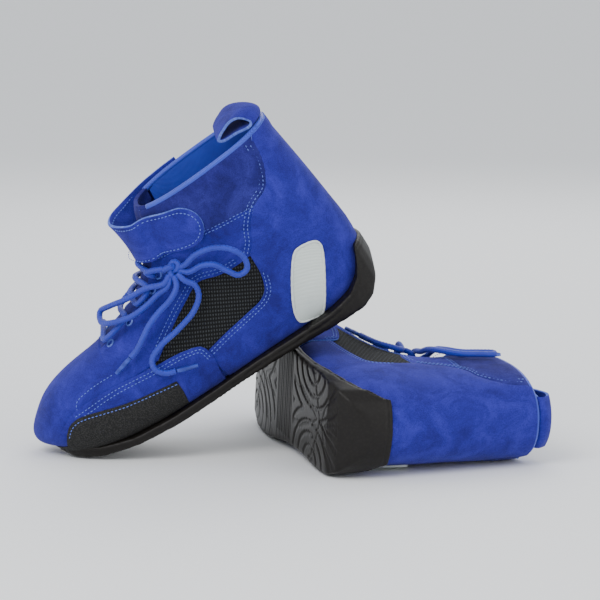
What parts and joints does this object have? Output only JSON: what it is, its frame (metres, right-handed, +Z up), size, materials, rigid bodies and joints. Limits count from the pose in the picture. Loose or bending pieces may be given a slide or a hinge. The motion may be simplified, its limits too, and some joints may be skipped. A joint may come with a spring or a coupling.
{
  "type": "pair of ankle sports boots",
  "caption": "Pair of low ankle suede sports boots, laced with a hook-and-loop ankle strap, mesh sides, heel pull loops and thin rubber cup soles; one leans on the other.",
  "frame": {"origin": "bottom centre of the box round the pair without its laces, on the floor", "axes": "+Z up; +X runs from the toe of the leaning boot towards the collar of the lying boot; +Y points away from the viewer"},
  "size_m": [0.4012, 0.29, 0.2778],
  "materials": {
    "suede": "royal-blue suede with a short uneven nap",
    "soft_suede": "softer brushed collar and tongue cloth",
    "lining": "satin knit",
    "mesh": "black ribbed mesh",
    "abrasion": "rough pebbled rubberised cloth",
    "emblem": "white embroidered patch",
    "hook_pile": "hook-and-loop pile",
    "rubber": "satin moulded rubber",
    "board": "pressed fibre board",
    "footbed": "cloth-covered foam",
    "lace": "braided round cord",
    "aglet": "hard lace tip"
  },
  "bodies": {
    "right_boot": {"right_outsole": "rubber", "right_insole_board": "board", "right_heel_counter": "board", "right_footbed": "footbed", "right_lining": "lining", "right_toe_vamp": "suede", "right_rear_panel": "suede", "right_lateral_mesh": "mesh", "right_medial_mesh": "mesh", "right_lateral_quarter": "suede", "right_medial_quarter": "suede", "right_lateral_collar": "soft_suede", "right_medial_collar": "soft_suede", "right_lateral_saddle": "suede", "right_medial_saddle": "suede", "right_abrasion_patch": "abrasion", "right_emblem_patch": "emblem", "right_fastener_pad": "hook_pile", "right_lacing": "lace", "right_lace_loop_outer": "lace", "right_lace_loop_inner": "lace", "right_lace_end_outer": "lace", "right_lace_end_inner": "lace", "right_aglet_outer": "aglet", "right_aglet_inner": "aglet"},
    "right_strap": {"right_ankle_strap": "suede"},
    "right_strap_end": {"right_strap_tip": "suede"},
    "right_tongue_body": {"right_tongue": "soft_suede"},
    "right_loop_body": {"right_pull_loop": "suede"},
    "left_boot": {"left_outsole": "rubber", "left_insole_board": "board", "left_heel_counter": "board", "left_footbed": "footbed", "left_lining": "lining", "left_toe_vamp": "suede", "left_rear_panel": "suede", "left_lateral_mesh": "mesh", "left_medial_mesh": "mesh", "left_lateral_quarter": "suede", "left_medial_quarter": "suede", "left_lateral_collar": "soft_suede", "left_medial_collar": "soft_suede", "left_lateral_saddle": "suede", "left_medial_saddle": "suede", "left_abrasion_patch": "abrasion", "left_emblem_patch": "emblem", "left_fastener_pad": "hook_pile", "left_lacing": "lace", "left_lace_loop_outer": "lace", "left_lace_loop_inner": "lace", "left_lace_end_outer": "lace", "left_lace_end_inner": "lace", "left_aglet_outer": "aglet", "left_aglet_inner": "aglet"},
    "left_strap": {"left_ankle_strap": "suede"},
    "left_strap_end": {"left_strap_tip": "suede"},
    "left_tongue_body": {"left_tongue": "soft_suede"},
    "left_loop_body": {"left_pull_loop": "suede"}
  },
  "joints": [
    {"name": "left_boot_lift_off", "type": "slide", "parent": "right_boot", "child": "left_boot", "axis": [0, 0, 1], "range_m": [0, 0.3]},
    {"name": "right_strap_swing", "type": "hinge", "parent": "right_boot", "child": "right_strap", "pos_m": [0.14953, -0.02728, 0.07793], "axis": [0.9613, 0.2742, -0.0273], "range_deg": [0, 100]},
    {"name": "right_strap_peel", "type": "hinge", "parent": "right_strap", "child": "right_strap_end", "pos_m": [0.1204, 0.02508, 0.0177], "axis": [0.9613, 0.2742, -0.0273], "range_deg": [0, 90]},
    {"name": "right_tongue_fold", "type": "hinge", "parent": "right_boot", "child": "right_tongue_body", "pos_m": [0.04395, 0.07017, 0.04993], "axis": [-0.0473, 0.0667, -0.9966], "range_deg": [0, 10]},
    {"name": "right_pull_loop_flex", "type": "hinge", "parent": "right_boot", "child": "right_loop_body", "pos_m": [0.18945, -0.09153, 0.0322], "axis": [-0.0473, 0.0667, -0.9966], "range_deg": [0, 70], "stiffness_Nm_per_rad": 0.02},
    {"name": "left_strap_swing", "type": "hinge", "parent": "left_boot", "child": "left_strap", "pos_m": [-0.07996, -0.01365, 0.21743], "axis": [0.5039, 0.2316, -0.8321], "range_deg": [0, 100]},
    {"name": "left_strap_peel", "type": "hinge", "parent": "left_strap", "child": "left_strap_end", "pos_m": [-0.11241, -0.07356, 0.16668], "axis": [0.5039, 0.2316, -0.8321], "range_deg": [0, 90]},
    {"name": "left_tongue_fold", "type": "hinge", "parent": "left_boot", "child": "left_tongue_body", "pos_m": [-0.141, -0.03385, 0.08592], "axis": [-0.1128, 0.9728, 0.2025], "range_deg": [0, 10]},
    {"name": "left_pull_loop_flex", "type": "hinge", "parent": "left_boot", "child": "left_loop_body", "pos_m": [-0.02152, -0.05769, 0.267], "axis": [-0.1128, 0.9728, 0.2025], "range_deg": [0, 70], "stiffness_Nm_per_rad": 0.02}
  ],
  "couplings": [
    {"joint": "right_strap_peel", "follows": "right_strap_swing", "ratio": 0.9},
    {"joint": "left_strap_peel", "follows": "left_strap_swing", "ratio": 0.9}
  ]
}
